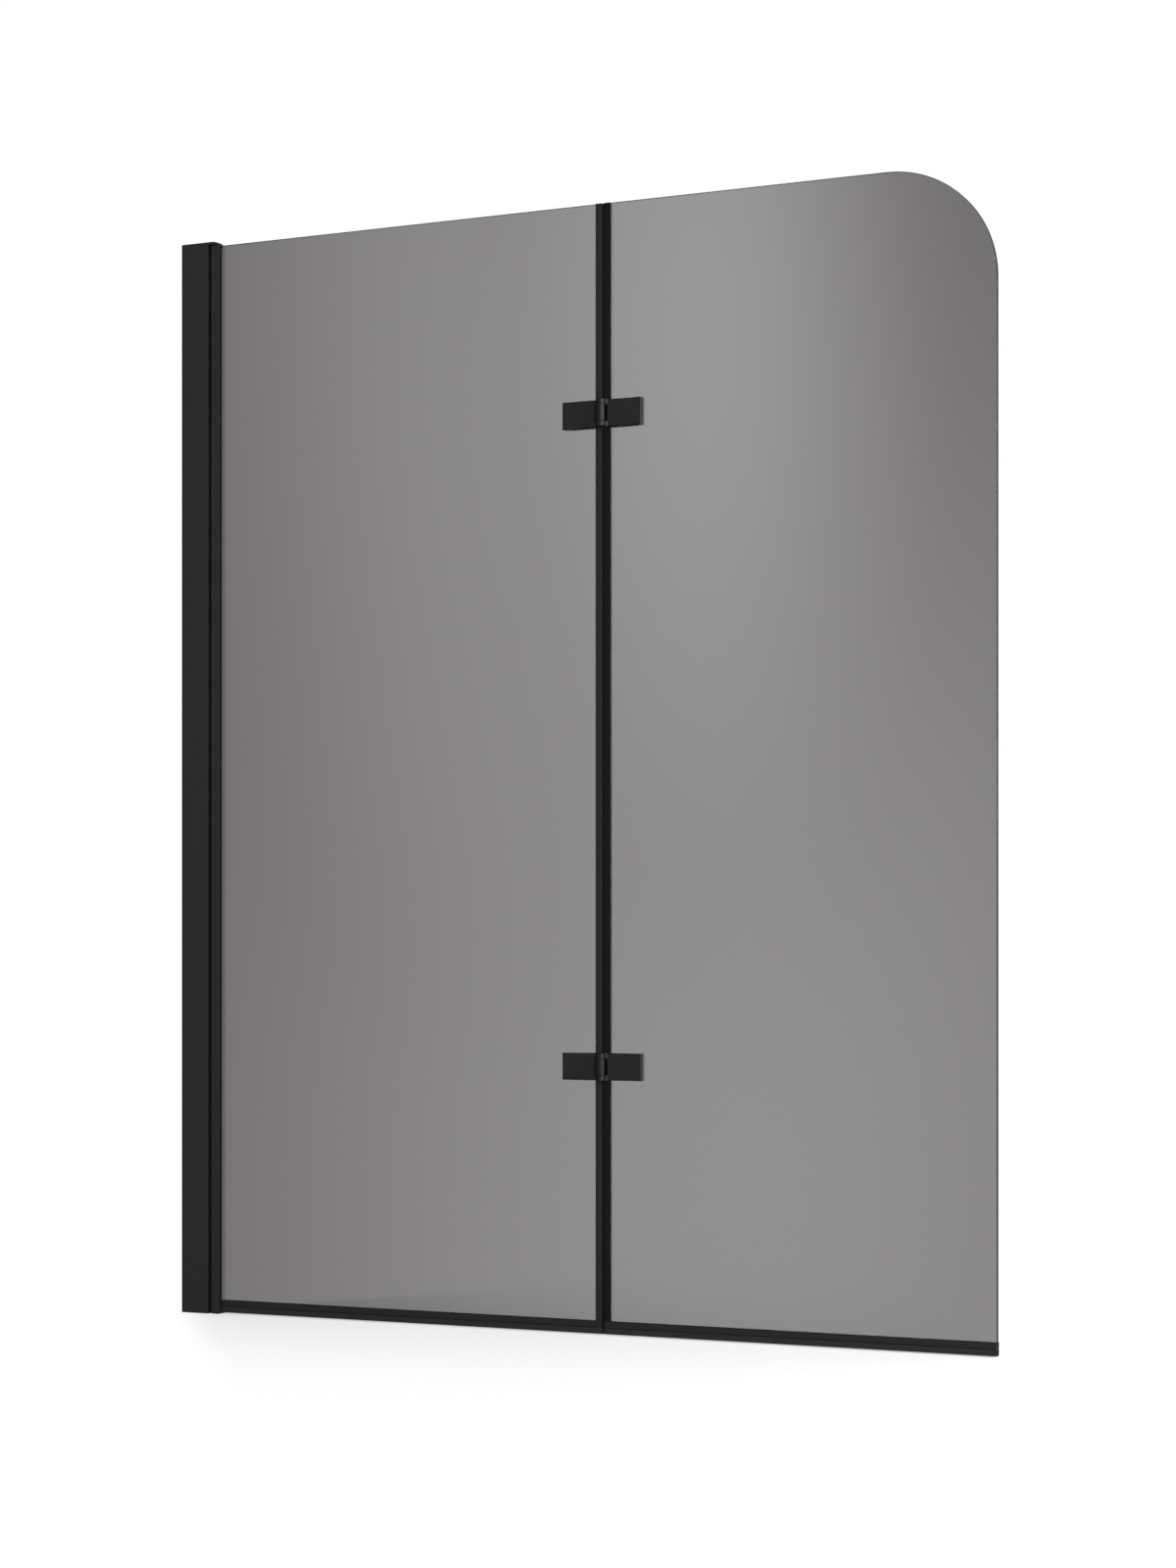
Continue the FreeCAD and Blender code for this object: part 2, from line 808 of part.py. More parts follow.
os.makedirs("parts", exist_ok=True)
for node, shape in make_nodes().items():
    shape.exportStep("parts/" + node + ".step")
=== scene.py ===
import json
import math

import bmesh
import bpy
from bpy.props import FloatProperty, FloatVectorProperty, PointerProperty
from mathutils import Euler, Matrix, Vector


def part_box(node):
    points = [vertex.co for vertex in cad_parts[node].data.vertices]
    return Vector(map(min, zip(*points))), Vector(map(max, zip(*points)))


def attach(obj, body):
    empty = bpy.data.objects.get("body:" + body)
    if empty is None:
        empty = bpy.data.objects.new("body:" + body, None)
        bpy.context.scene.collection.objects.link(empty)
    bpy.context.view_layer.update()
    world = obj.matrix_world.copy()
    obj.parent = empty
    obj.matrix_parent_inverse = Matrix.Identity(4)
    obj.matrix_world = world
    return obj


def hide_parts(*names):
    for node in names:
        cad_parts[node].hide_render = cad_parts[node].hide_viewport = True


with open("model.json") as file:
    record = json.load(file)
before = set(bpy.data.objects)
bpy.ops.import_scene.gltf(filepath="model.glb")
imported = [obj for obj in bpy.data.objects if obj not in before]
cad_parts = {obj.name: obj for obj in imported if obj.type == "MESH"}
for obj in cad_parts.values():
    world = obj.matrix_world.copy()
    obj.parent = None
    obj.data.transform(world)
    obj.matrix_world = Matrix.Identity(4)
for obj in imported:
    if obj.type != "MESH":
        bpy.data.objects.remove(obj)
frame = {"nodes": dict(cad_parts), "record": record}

bl_info = {
    "name": "Folding bath screen",
    "version": (1, 0, 0),
    "blender": (4, 5, 0),
    "location": "3D View > Sidebar > Bath screen",
    "description": "Dresses a folding bath screen of smoked glass with its panes, seals and finishes",
    "category": "Object",
}

MM = 0.001

# Directions
ALONG = Vector((1, 0, 0))
THROUGH = Vector((0, 1, 0))
UP = Vector((0, 0, 1))

# Steps of the small roundings, of a pane's corner, round a bar or a dome, and of a dome's shoulder
ROUND_STEPS = 3
CORNER_STEPS = 40
CIRCLE_STEPS = 48
SHOULDER_STEPS = 6

# Faces that meet at a smaller angle than this are shaded as one
SMOOTH_BELOW = math.radians(40)
# Points nearer than this count as one
SAME_PLACE = MM / 100
# How far a cutting piece reaches past what it cuts
PAST = 2 * MM
# Room round the bushes in the holes of a pane
HOLE_ROOM = MM / 10
# How far past the flat nose of a fixed strip its soft bulb starts
BULB_START = MM / 10

# The photograph's view: where the camera stands, its turn to the left, its lens on the film's
# long side, the lift of the picture that keeps the uprights parallel, and how far it sees
CAMERA_PLACE = (1.994736, -3.291109, 0.477897)
CAMERA_TURN = math.radians(23.2879)
CAMERA_LENS = 66.2896
CAMERA_LIFT = 0.105111
CAMERA_REACH = 100.0

# Soft boxes: name, place, width and height in metres, and watts. Both face the target, a point on
# the joint between the panes.
KEY_LAMP = ("key_softbox", (2.7, -3.3, 1.35), 0.8, 2.6, 110)
SIDE_LAMP = ("side_softbox", (4.1, -0.9, 1.31), 1.4, 2.6, 195)
LAMP_TARGET = (0.6, 0, 1.0)

# Level of the studio in front of the screen and behind it, and how much of a direction points
# backwards where the second is reached
FRONT_LEVEL = 0.4
BACK_LEVEL = 1.0
BACK_FROM = 0.7

# Soft lights in front, which the panes mirror: turn from straight ahead of the screen, negative
# towards the wall, height, half width and half height of each, in degrees, and its strength
MIRRORED_LIGHTS = (
    (-20.1, -4.5, 16.1, 27.8, 3.15),
    (-20.3, 14.2, 4.9, 15.0, 2.2),
    (-25.3, 15.0, 8.7, 17.0, 2.0),
)

# Half the side of the floor, and the light that it gives off near the screen
FLOOR_REACH = 12.0
FLOOR_GLOW = 1.07
# The shadow on the floor: how far it reaches in front and behind, and past the ends, how far it
# slides away from the wall on its way there, and its share in the floor's shade
SHADOW_REACH = 0.75
END_REACH = 0.07
SHADOW_SLANT = 0.7
SHADOW_SHARE = 0.6

# A noise stays between these values nearly everywhere
NOISE_LOW = 0.3
NOISE_HIGH = 0.7

# What the names of the pieces are made from, and the body of each pane
HINGES = ("lower", "upper")
SIDES = ("fixed", "folding")
SPANS = ("lower", "middle", "upper")
PANEL_BODY = {"fixed": "fixed_panel", "folding": "folding_panel"}

# What stands at the wall end, where the side lamp's light doesn't reach
WALL_END = (
    "wall_channel",
    "adjusting_profile",
    "channel_top_cap",
    "channel_bottom_cap",
    "profile_foot",
    "front_bead",
)

# Solids with another finish than their slot's: the profile's neck gets painted shade, a darker colour
# where it shows in the gap beside the channel, and the ends of the steel pins are blackened, because
# they show under the hinges
SPECIAL_FINISHES = {
    "adjusting_profile": "aluminium_with_painted_neck_shade",
    "lower_hinge_pin": "black_steel",
    "upper_hinge_pin": "black_steel",
}

# Finishes by slot, filled when the first piece asks for one
FINISHES = {}


def linear(hex_colour):
    """Linear RGBA of an sRGB colour written as #rrggbb, by the curve of the sRGB standard."""
    parts = [int(hex_colour[i : i + 2], 16) / 255 for i in (1, 3, 5)]
    return (*(p / 12.92 if p <= 0.04045 else ((p + 0.055) / 1.055) ** 2.4 for p in parts), 1.0)


def length_property(name, description, millimetres):
    return FloatProperty(
        name=name,
        description=description,
        default=millimetres * MM,
        min=0,
        unit="LENGTH",
        subtype="DISTANCE",
    )


def colour_property(name, description, hex_colour):
    return FloatVectorProperty(
        name=name,
        description=description,
        default=linear(hex_colour),
        size=4,
        min=0,
        max=1,
        subtype="COLOR",
    )


class ScreenSizes(bpy.types.PropertyGroup):
    """Sizes of the pieces that are modelled here"""

    glass_arris: length_property("Glass arris", "Ground rounding of the pane edges", 0.6)
    strip_rounding: length_property("Strip rounding", "Rounding of the strips at the joint", 0.4)
    strip_growth: length_property("Strip growth", "How far cut ends swell to the hinges", 0.4)
    leg_tip: length_property("Leg tip", "Rounding of the thin legs that grip the glass", 0.5)
    bulb_radius: length_property("Bulb radius", "Outer radius of the hollow bulb at the joint", 2.6)
    bulb_wall: length_property("Bulb wall", "Wall of the hollow bulb", 0.7)
    clip_rounding: length_property("Clip rounding", "Rounding of a bottom seal's rigid band", 0.8)
    wiper_rounding: length_property("Wiper rounding", "Rounding of a bottom seal's soft band", 1.2)
    wiper_wall: length_property("Wiper wall", "Wall of the hollow wiper", 1.2)
    fin_rise: length_property("Fin rise", "Height of the fin above the foot of the wiper", 5.2)
    fin_thickness: length_property("Fin thickness", "Thickness of the fin at its root", 0.9)
    gasket_face: length_property("Gasket face", "Depth of the gasket face at the mouth of the head", 2.2)
    gasket_leg: length_property("Gasket leg", "Thickness of the gasket inside the head", 1.5)
    bead_rounding: length_property("Bead rounding", "Rounding of the gasket where it shows", 0.9)
    cover_wall: length_property("Cover wall", "Wall of the lock screw caps", 1.0)
    cover_rounding: length_property("Cover rounding", "Shoulder of the lock screw caps", 1.6)
    washer_radius: length_property("Washer radius", "Radius of the room in the caps", 5.5)
    # How far past the channel the painted shade on the profile's neck reaches
    neck_shade_reach: length_property("Neck reach", "How far the profile's darker neck shows", 2.35)


class ScreenColours(bpy.types.PropertyGroup):
    """Colours of the finishes"""

    coated: colour_property("Powder coat", "Black powder coat of the profiles", "#202021")
    # Painted shade: the neck's colour darkens the gap between the channel and the head, where shade
    # falls
    neck: colour_property("Neck", "Black anodising on the neck in the channel", "#060606")
    zinc: colour_property("Hinge coat", "Black coat on the die-cast hinges", "#0a0a0a")
    moulded: colour_property("Moulded caps", "Black ABS of the caps and the foot", "#18181a")
    rigid: colour_property("Rigid strips", "Black rigid PVC of the clips", "#141415")
    soft: colour_property("Soft strips", "Black soft PVC of the folding strips", "#0d0d0e")
    rubber: colour_property("Rubber", "Black EPDM of the wipers and gaskets", "#151414")
    glass: colour_property("Glass", "Smoked tint of the panes", "#686566")
    glass_edge: colour_property("Glass edge", "Tint of the panes, seen along them", "#0c0b0c")
    nylon: colour_property("Nylon", "Natural nylon of the liners, bushes and spacers", "#dcdad2")
    black_steel: colour_property("Black steel", "Oxide on the hinge screws", "#1c1c1d")
    steel: colour_property("Steel", "Stainless steel of pins, lock screws and washers", "#b9b8b6")
    floor: colour_property("Floor", "Pale studio floor", "#f2f2f2")


# Materials


def add(tree, kind, settings=(), **inputs):
    """One node with its settings, and with each input set or linked, by its name or as _number."""
    node = tree.nodes.new(kind)
    for name, value in dict(settings).items():
        setattr(node, name, value)
    for name, value in inputs.items():
        key = int(name[1:]) if name[1:].isdigit() else name.replace("_", " ")
        socket = node.inputs[key]
        if isinstance(value, bpy.types.NodeSocket):
            tree.links.new(value, socket)
        else:
            socket.default_value = value
    return node


def new_material(name):
    """Material without nodes, and its tree."""
    material = bpy.data.materials.new(name)
    material.use_nodes = True
    material.node_tree.nodes.clear()
    return material, material.node_tree


def shaded(colour, factor):
    """A colour made darker or lighter by a factor."""
    return (*(min(channel * factor, 1.0) for channel in colour[:3]), 1.0)


def skinned(name, colour, spread, roughness, uneven, grain, patch, relief, specular, metallic=0.0):
    """Opaque finish with a fine grain, and with broad patches that are a little duller or shinier.

    grain and patch are the widths of the two patterns and relief is the height of the grain, in
    metres. spread and uneven say how far the colour and the roughness vary. The IOR stays at the
    default of 1.5, which suits coats and plastics.
    """
    material, tree = new_material(name)
    place = add(tree, "ShaderNodeTexCoord").outputs["Object"]
    fine = add(tree, "ShaderNodeTexNoise", Vector=place, Scale=1 / grain, Detail=3.0, Roughness=0.6)
    broad = add(tree, "ShaderNodeTexNoise", Vector=place, Scale=1 / patch, Detail=2.0, Roughness=0.5)
    total = add(tree, "ShaderNodeMath", {"operation": "ADD"}, _0=fine.outputs[0], _1=broad.outputs[0])
    both = add(tree, "ShaderNodeMath", {"operation": "MULTIPLY"}, _0=total.outputs[0], _1=0.5)
    tint = add(
        tree,
        "ShaderNodeMix",
        {"data_type": "RGBA"},
        _0=both.outputs[0],
        _6=shaded(colour, 1 - spread),
        _7=shaded(colour, 1 + spread),
    )
    sheen = add(
        tree,
        "ShaderNodeMapRange",
        Value=both.outputs[0],
        From_Min=NOISE_LOW,
        From_Max=NOISE_HIGH,
        To_Min=roughness - uneven,
        To_Max=roughness + uneven,
    )
    bump = add(tree, "ShaderNodeBump", Strength=0.5, Distance=relief, Height=fine.outputs[0])
    shader = add(
        tree,
        "ShaderNodeBsdfPrincipled",
        Base_Color=tint.outputs[2],
        Roughness=sheen.outputs[0],
        Metallic=metallic,
        Specular_IOR_Level=specular,
        Normal=bump.outputs[0],
    )
    add(tree, "ShaderNodeOutputMaterial", Surface=shader.outputs[0])
    return material


def powder_coated_aluminium(colour):
    """Extruded aluminium under a black polyester powder coat: nearly matt, with a faint orange peel."""
    # Real orange peel is about 0.8 mm across. It is drawn at 1.4 mm, so that a close view shows it.
    return skinned(
        "powder_coated_aluminium",
        colour,
        spread=0.12,
        roughness=0.58,
        uneven=0.05,
        grain=1.4 * MM,
        patch=90 * MM,
        relief=0.02 * MM,
        specular=0.11,
    )


def coat_with_painted_neck_shade(colour, neck_shade_colour, neck_shade_end):
    """The same coat, with painted shade: a darker colour on the neck, up to where the gap beside the
    channel ends.
    """
    material = powder_coated_aluminium(colour)
    material.name = "powder_coated_aluminium_masked_at_the_neck"
    tree = material.node_tree
    shader = next(node for node in tree.nodes if node.type == "BSDF_PRINCIPLED")
    coat = shader.inputs["Base Color"].links[0].from_socket
    place = add(tree, "ShaderNodeTexCoord").outputs["Object"]
    along = add(tree, "ShaderNodeSeparateXYZ", Vector=place).outputs["X"]
    # Painted shade: the neck is darker up to the end of the gap between the channel and the head
    in_painted_shade = add(tree, "ShaderNodeMath", {"operation": "LESS_THAN"}, _0=along, _1=neck_shade_end).outputs[0]
    shown = add(tree, "ShaderNodeMix", {"data_type": "RGBA"}, _0=in_painted_shade, _6=coat, _7=neck_shade_colour)
    tree.links.new(shown.outputs[2], shader.inputs["Base Color"])
    return material


def coated_zinc(colour):
    """Die-cast zinc under a thinner, smoother coat: a slightly sharper shine than the profiles."""
    # The peel of this thin coat is about 0.5 mm across, drawn at 0.9 mm to show
    return skinned(
        "coated_die_cast_zinc",
        colour,
        spread=0.10,
        roughness=0.36,
        uneven=0.04,
        grain=0.9 * MM,
        patch=30 * MM,
        relief=0.01 * MM,
        specular=0.13,
    )


def moulded_abs(colour):
    """Injection moulded ABS with a spark-eroded grain: a little shinier than the coat beside it."""
    # The mould's grain is about 0.15 mm across, drawn at 0.7 mm to show
    return skinned(
        "moulded_black_abs",
        colour,
        spread=0.12,
        roughness=0.5,
        uneven=0.05,
        grain=0.7 * MM,
        patch=25 * MM,
        relief=0.02 * MM,
        specular=0.16,
    )


def extruded_pvc(colour):
    """Rigid extruded PVC: even satin, with a faint shine."""
    # The grain of the skin is about 0.3 mm across, drawn at 1.1 mm to show
    return skinned(
        "extruded_rigid_pvc",
        colour,
        spread=0.10,
        roughness=0.5,
        uneven=0.05,
        grain=1.1 * MM,
        patch=60 * MM,
        relief=0.01 * MM,
        specular=0.13,
    )


def soft_pvc(colour):
    """Plasticised PVC with a matt skin: nearly no highlight."""
    # The grain of the skin is about 0.3 mm across, drawn at 1 mm to show
    return skinned(
        "extruded_soft_pvc",
        colour,
        spread=0.15,
        roughness=0.6,
        uneven=0.05,
        grain=1.0 * MM,
        patch=40 * MM,
        relief=0.01 * MM,
        specular=0.05,
    )


def epdm_rubber(colour):
    """Extruded EPDM: deep matt black with a fine, dusty bloom in patches."""
    # The grain of the rubber is about 0.2 mm across, drawn at 0.8 mm to show
    return skinned(
        "extruded_epdm_rubber",
        colour,
        spread=0.2,
        roughness=0.6,
        uneven=0.07,
        grain=0.8 * MM,
        patch=35 * MM,
        relief=0.02 * MM,
        specular=0.22,
    )


def natural_nylon(colour):
    """Moulded natural nylon: milky white with a soft shine."""
    # The mould's grain is about 0.2 mm across, drawn at 0.9 mm to show
    return skinned(
        "moulded_natural_nylon",
        colour,
        spread=0.04,
        roughness=0.4,
        uneven=0.05,
        grain=0.9 * MM,
        patch=12 * MM,
        relief=0.01 * MM,
        specular=0.5,
    )


def blackened_steel(colour):
    """Machined steel with a black oxide skin: dark, oily shine."""
    # The tool marks are about 0.1 mm across, drawn at 0.5 mm to show
    return skinned(
        "black_oxide_steel",
        colour,
        spread=0.2,
        roughness=0.36,
        uneven=0.08,
        grain=0.5 * MM,
        patch=6 * MM,
        relief=0.01 * MM,
        specular=0.5,
    )


def turned_steel(colour):
    """Turned stainless steel: bright, and a little uneven from the tool marks."""
    # The tool marks are about 0.1 mm across, drawn at 0.4 mm to show
    return skinned(
        "turned_stainless_steel",
        colour,
        spread=0.06,
        roughness=0.28,
        uneven=0.06,
        grain=0.4 * MM,
        patch=5 * MM,
        relief=0.01 * MM,
        specular=0.5,
        metallic=1.0,
    )


def smoked_glass(colour):
    """Toughened float glass, tinted grey through and through: a clear, hard shine on flat faces."""
    material, tree = new_material("smoked_float_glass")
    place = add(tree, "ShaderNodeTexCoord").outputs["Object"]
    # The waves that the rollers leave in toughened glass: some 280 mm apart, far under 0.1 mm high
    length = 280 * MM
    height = 0.05 * MM
    spread = 0.01
    waves = add(tree, "ShaderNodeTexNoise", Vector=place, Scale=1 / length, Detail=1.0, Roughness=0.4)
    bump = add(tree, "ShaderNodeBump", Strength=0.08, Distance=height, Height=waves.outputs[0])
    tint = add(
        tree,
        "ShaderNodeMix",
        {"data_type": "RGBA"},
        _0=waves.outputs[0],
        _6=shaded(colour, 1 - spread),
        _7=shaded(colour, 1 + spread),
    )
    shader = add(
        tree,
        "ShaderNodeBsdfPrincipled",
        Base_Color=tint.outputs[2],
        Roughness=0.0,
        IOR=1.52,
        Transmission_Weight=1.0,
        Normal=bump.outputs[0],
    )
    add(tree, "ShaderNodeOutputMaterial", Surface=shader.outputs[0])
    return material


def ground_glass_edge(colour):
    """Ground rim of the smoked pane: nearly black, because the eye looks along the tint there."""
    # The grit leaves marks of about 0.1 mm, drawn at 0.6 mm to show
    return skinned(
        "ground_smoked_glass_edge",
        colour,
        spread=0.1,
        roughness=0.7,
        uneven=0.05,
        grain=0.6 * MM,
        patch=20 * MM,
        relief=0.01 * MM,
        specular=0.04,
    )


def slot_materials(colours, sizes):
    """The finish of each of the record's material slots, and of two more kinds of surface."""
    # The painted shade on the profile's neck ends this far past the channel
    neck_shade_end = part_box("wall_channel")[1].x + sizes.neck_shade_reach
    return {
        "black_aluminium": powder_coated_aluminium(colours.coated),
        "aluminium_with_painted_neck_shade": coat_with_painted_neck_shade(colours.coated, colours.neck, neck_shade_end),
        "black_zinc": coated_zinc(colours.zinc),
        "black_abs": moulded_abs(colours.moulded),
        "black_pvc": extruded_pvc(colours.rigid),
        "black_soft_pvc": soft_pvc(colours.soft),
        "black_rubber": epdm_rubber(colours.rubber),
        "smoked_glass": smoked_glass(colours.glass),
        "glass_edge": ground_glass_edge(colours.glass_edge),
        "white_nylon": natural_nylon(colours.nylon),
        "black_steel": blackened_steel(colours.black_steel),
        "stainless_steel": turned_steel(colours.steel),
    }


def slot_of(node):
    """The record's material slot of a solid."""
    return next(part["material_slot"] for part in frame["record"]["subparts"] if part["node"] == node)


def finish_named(slot):
    """The finish of a slot, made once for all pieces."""
    if slot not in FINISHES:
        scene = bpy.context.scene
        FINISHES.update(slot_materials(scene.screen_colours, scene.screen_sizes))
    return FINISHES[slot]


# Mesh helpers


def centre_of(low, high):
    """Middle of a box."""
    return (low + high) / 2


def add_block(bm, low, high):
    """Box between two corners."""
    size = Matrix.Diagonal((*(high - low), 1))
    bmesh.ops.create_cube(bm, size=1, matrix=Matrix.Translation(centre_of(low, high)) @ size)


def add_rod(bm, centre, direction, radius, length):
    """Round bar through a centre."""
    turn = direction.to_track_quat("Z", "Y").to_matrix().to_4x4()
    bmesh.ops.create_cone(
        bm,
        cap_ends=True,
        segments=CIRCLE_STEPS,
        radius1=radius,
        radius2=radius,
        depth=length,
        matrix=Matrix.Translation(centre) @ turn,
    )


def rounded(bm, edges, radius, steps=ROUND_STEPS):
    """Rounds edges with a radius."""
    bmesh.ops.bevel(
        bm,
        geom=edges,
        offset=radius,
        offset_type="OFFSET",
        segments=steps,
        profile=0.5,
        affect="EDGES",
        material=-1,
        clamp_overlap=True,
    )


def long_edges(bm, direction, corner):
    """Edges along a direction that pass through a corner of the outline."""

    def beside(vert):
        offset = vert.co - corner
        return (offset - direction * offset.dot(direction)).length < SAME_PLACE

    return [edge for edge in bm.edges if all(beside(vert) for vert in edge.verts)]


def add_bar(bm, outline, direction, start, end):
    """Bar with a closed outline of (point, radius) corners, pulled along a direction."""
    foot = [point + direction * start for point, _ in outline]
    face = bm.faces.new([bm.verts.new(point) for point in foot])
    pulled = bmesh.ops.extrude_face_region(bm, geom=[face])
    tips = [item for item in pulled["geom"] if isinstance(item, bmesh.types.BMVert)]
    bmesh.ops.translate(bm, verts=tips, vec=direction * (end - start))
    for radius in sorted({radius for _, radius in outline if radius}):
        corners = [point for point, own in outline if own == radius]
        edges = [edge for corner in corners for edge in long_edges(bm, direction, corner)]
        rounded(bm, edges, radius)


def in_plan(corners):
    """Outline of (x, y, radius) corners, for a bar along the height."""
    return [(Vector((x, y, 0)), radius) for x, y, radius in corners]


def in_section(corners):
    """Outline of (y, z, radius) corners, for a bar along the screen."""
    return [(Vector((0, y, z)), radius) for y, z, radius in corners]


def to_object(bm, name):
    """Object from a bmesh, with its faces outwards."""
    bmesh.ops.recalc_face_normals(bm, faces=bm.faces)
    mesh = bpy.data.meshes.new(name)
    bm.to_mesh(mesh)
    bm.free()
    piece = bpy.data.objects.new(name, mesh)
    bpy.context.scene.collection.objects.link(piece)
    return piece


def combined(piece, tool_mesh, operation):
    """Joins a piece with another shape, or cuts the shape out of it."""
    tool = to_object(tool_mesh, piece.name + "_tool")
    change = piece.modifiers.new("Shape", "BOOLEAN")
    change.operation = operation
    change.solver = "EXACT"
    change.object = tool
    bpy.context.view_layer.update()
    result = piece.evaluated_get(bpy.context.evaluated_depsgraph_get())
    mesh = bpy.data.meshes.new_from_object(result)
    piece.modifiers.clear()
    piece.data = mesh
    mesh.name = piece.name
    bpy.data.objects.remove(tool)


def dressed(piece, body, slot, *nodes):
    """Gives a piece its shading, finish and body, in place of the plain solids it stands for."""
    piece.data.shade_smooth()
    piece.data.set_sharp_from_angle(angle=SMOOTH_BELOW)
    flat = piece.modifiers.new("Flat faces", "WEIGHTED_NORMAL")
    flat.mode = "FACE_AREA"
    flat.keep_sharp = True
    piece.data.materials.clear()
    piece.data.materials.append(finish_named(slot))
    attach(piece, body)
    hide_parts(*nodes)


# Pieces


def screw_places(side):
    """Centres and radius of the holes in a pane, from the bushes that sit in them."""
    places = []
    for hinge in HINGES:
        low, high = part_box(f"{hinge}_hinge_{side}_glass_bushes")
        radius = (high.z - low.z) / 2
        middle = centre_of(low, high)
        places += [(Vector((x, middle.y, middle.z)), radius) for x in (low.x + radius, high.x - radius)]
    return places


def corner_radius(node):
    """Radius of the free upper corner of a pane, from the straight part of its upper edge."""
    low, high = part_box(node)
    top = [v.co.x for v in frame["nodes"][node].data.vertices if v.co.z > high.z - SAME_PLACE]
    return high.x - max(top)


def make_pane(side, sizes):
    """One pane: its free corner rounded if the solid's is, with ground edges and drilled holes."""
    node = side + "_glass"
    low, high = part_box(node)
    middle = centre_of(low, high)
    radius = corner_radius(node)
    bm = bmesh.new()
    add_block(bm, low, high)
    if radius > 2 * sizes.glass_arris:
        corner = [e for e in bm.edges if all(v.co.x > middle.x and v.co.z > middle.z for v in e.verts)]
        rounded(bm, corner, radius, CORNER_STEPS)
    rim = [e for e in bm.edges if (e.verts[0].co.y - middle.y) * (e.verts[1].co.y - middle.y) > 0]
    rounded(bm, rim, sizes.glass_arris)
    pane = to_object(bm, side + "_pane")
    drill = bmesh.new()
    for place, hole in screw_places(side):
        add_rod(drill, place, THROUGH, hole + HOLE_ROOM, high.y - low.y + 2 * PAST)
    combined(pane, drill, "DIFFERENCE")
    dressed(pane, PANEL_BODY[side], "smoked_glass", node)
    pane.data.materials.append(finish_named("glass_edge"))
    # The rim and the holes are ground, and the two faces are clear
    clear = math.cos(SMOOTH_BELOW / 2)
    for face in pane.data.polygons:
        face.material_index = int(abs(face.normal.y) < clear)


def strip_ends(node, span, growth):
    """Foot and top of a strip, with its cut ends close up to the hinges."""
    low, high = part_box(node)
    foot = low.z if span == SPANS[0] else low.z - growth
    top = high.z if span == SPANS[-1] else high.z + growth
    return foot, top


def make_folding_strip(span, sizes):
    """Soft strip on the hinged edge of the folding pane, with a flat nose."""
    node = "folding_edge_seal_" + span
    low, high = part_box(node)
    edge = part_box("folding_glass")[0].x
    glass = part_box("folding_glass")[1].y
    outer, tip = sizes.strip_rounding, sizes.leg_tip
    bm = bmesh.new()
    corners = [
        (low.x, low.y, outer),
        (high.x, low.y, tip),
        (high.x, -glass, 0),
        (edge, -glass, 0),
        (edge, glass, 0),
        (high.x, glass, 0),
        (high.x, high.y, tip),
        (low.x, high.y, outer),
    ]
    add_bar(bm, in_plan(corners), UP, *strip_ends(node, span, sizes.strip_growth))
    dressed(to_object(bm, "folding_strip_" + span), "folding_panel", "black_soft_pvc", node)


def make_fixed_strip(span, sizes):
    """Strip on the edge of the fixed pane, with a hollow bulb that meets the other strip."""
    node = "fixed_edge_seal_" + span
    low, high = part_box(node)
    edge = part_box("fixed_glass")[1].x
    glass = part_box("fixed_glass")[1].y
    outer, tip = sizes.strip_rounding, sizes.leg_tip
    nose = edge + (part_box("folding_glass")[0].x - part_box("folding_edge_seal_" + span)[0].x)
    foot, top = strip_ends(node, span, sizes.strip_growth)
    bm = bmesh.new()
    corners = [
        (nose, low.y, outer),
        (nose, high.y, outer),
        (low.x, high.y, tip),
        (low.x, glass, 0),
        (edge, glass, 0),
        (edge, -glass, 0),
        (low.x, -glass, 0),
        (low.x, low.y, tip),
    ]
    add_bar(bm, in_plan(corners), UP, foot, top)
    strip = to_object(bm, "fixed_strip_" + span)
    centre = Vector((high.x - sizes.bulb_radius, 0, (foot + top) / 2))
    bulb = bmesh.new()
    add_rod(bulb, centre, UP, sizes.bulb_radius, top - foot)
    combined(strip, bulb, "UNION")
    hollow = bmesh.new()
    inner = sizes.bulb_radius - sizes.bulb_wall
    add_rod(hollow, centre + ALONG * inner / 2, UP, inner / 2, top - foot + 2 * PAST)
    combined(strip, hollow, "DIFFERENCE")
    dressed(strip, "fixed_panel", "black_pvc", node)
    # The bulb is soft, co-extruded on the rigid clip
    strip.data.materials.append(finish_named("black_soft_pvc"))
    for face in strip.data.polygons:
        face.material_index = int(face.center.x > nose + BULB_START)


def make_bottom_clip(side, sizes):
    """Rigid upper band of a bottom seal, which grips the lower edge of the pane."""
    node = side + "_bottom_clip"
    low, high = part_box(node)
    glass_low, glass_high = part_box(side + "_glass")
    rounding, tip = sizes.clip_rounding, sizes.leg_tip
    corners = [
        (low.y, low.z, rounding),
        (high.y, low.z, rounding),
        (high.y, high.z, rounding),
        (glass_high.y, high.z, tip),
        (glass_high.y, glass_low.z, 0),
        (glass_low.y, glass_low.z, 0),
        (glass_low.y, high.z, tip),
        (low.y, high.z, rounding),
    ]
    bm = bmesh.new()
    add_bar(bm, in_section(corners), ALONG, low.x, high.x)
    dressed(to_object(bm, side + "_clip"), PANEL_BODY[side], "black_pvc", node)


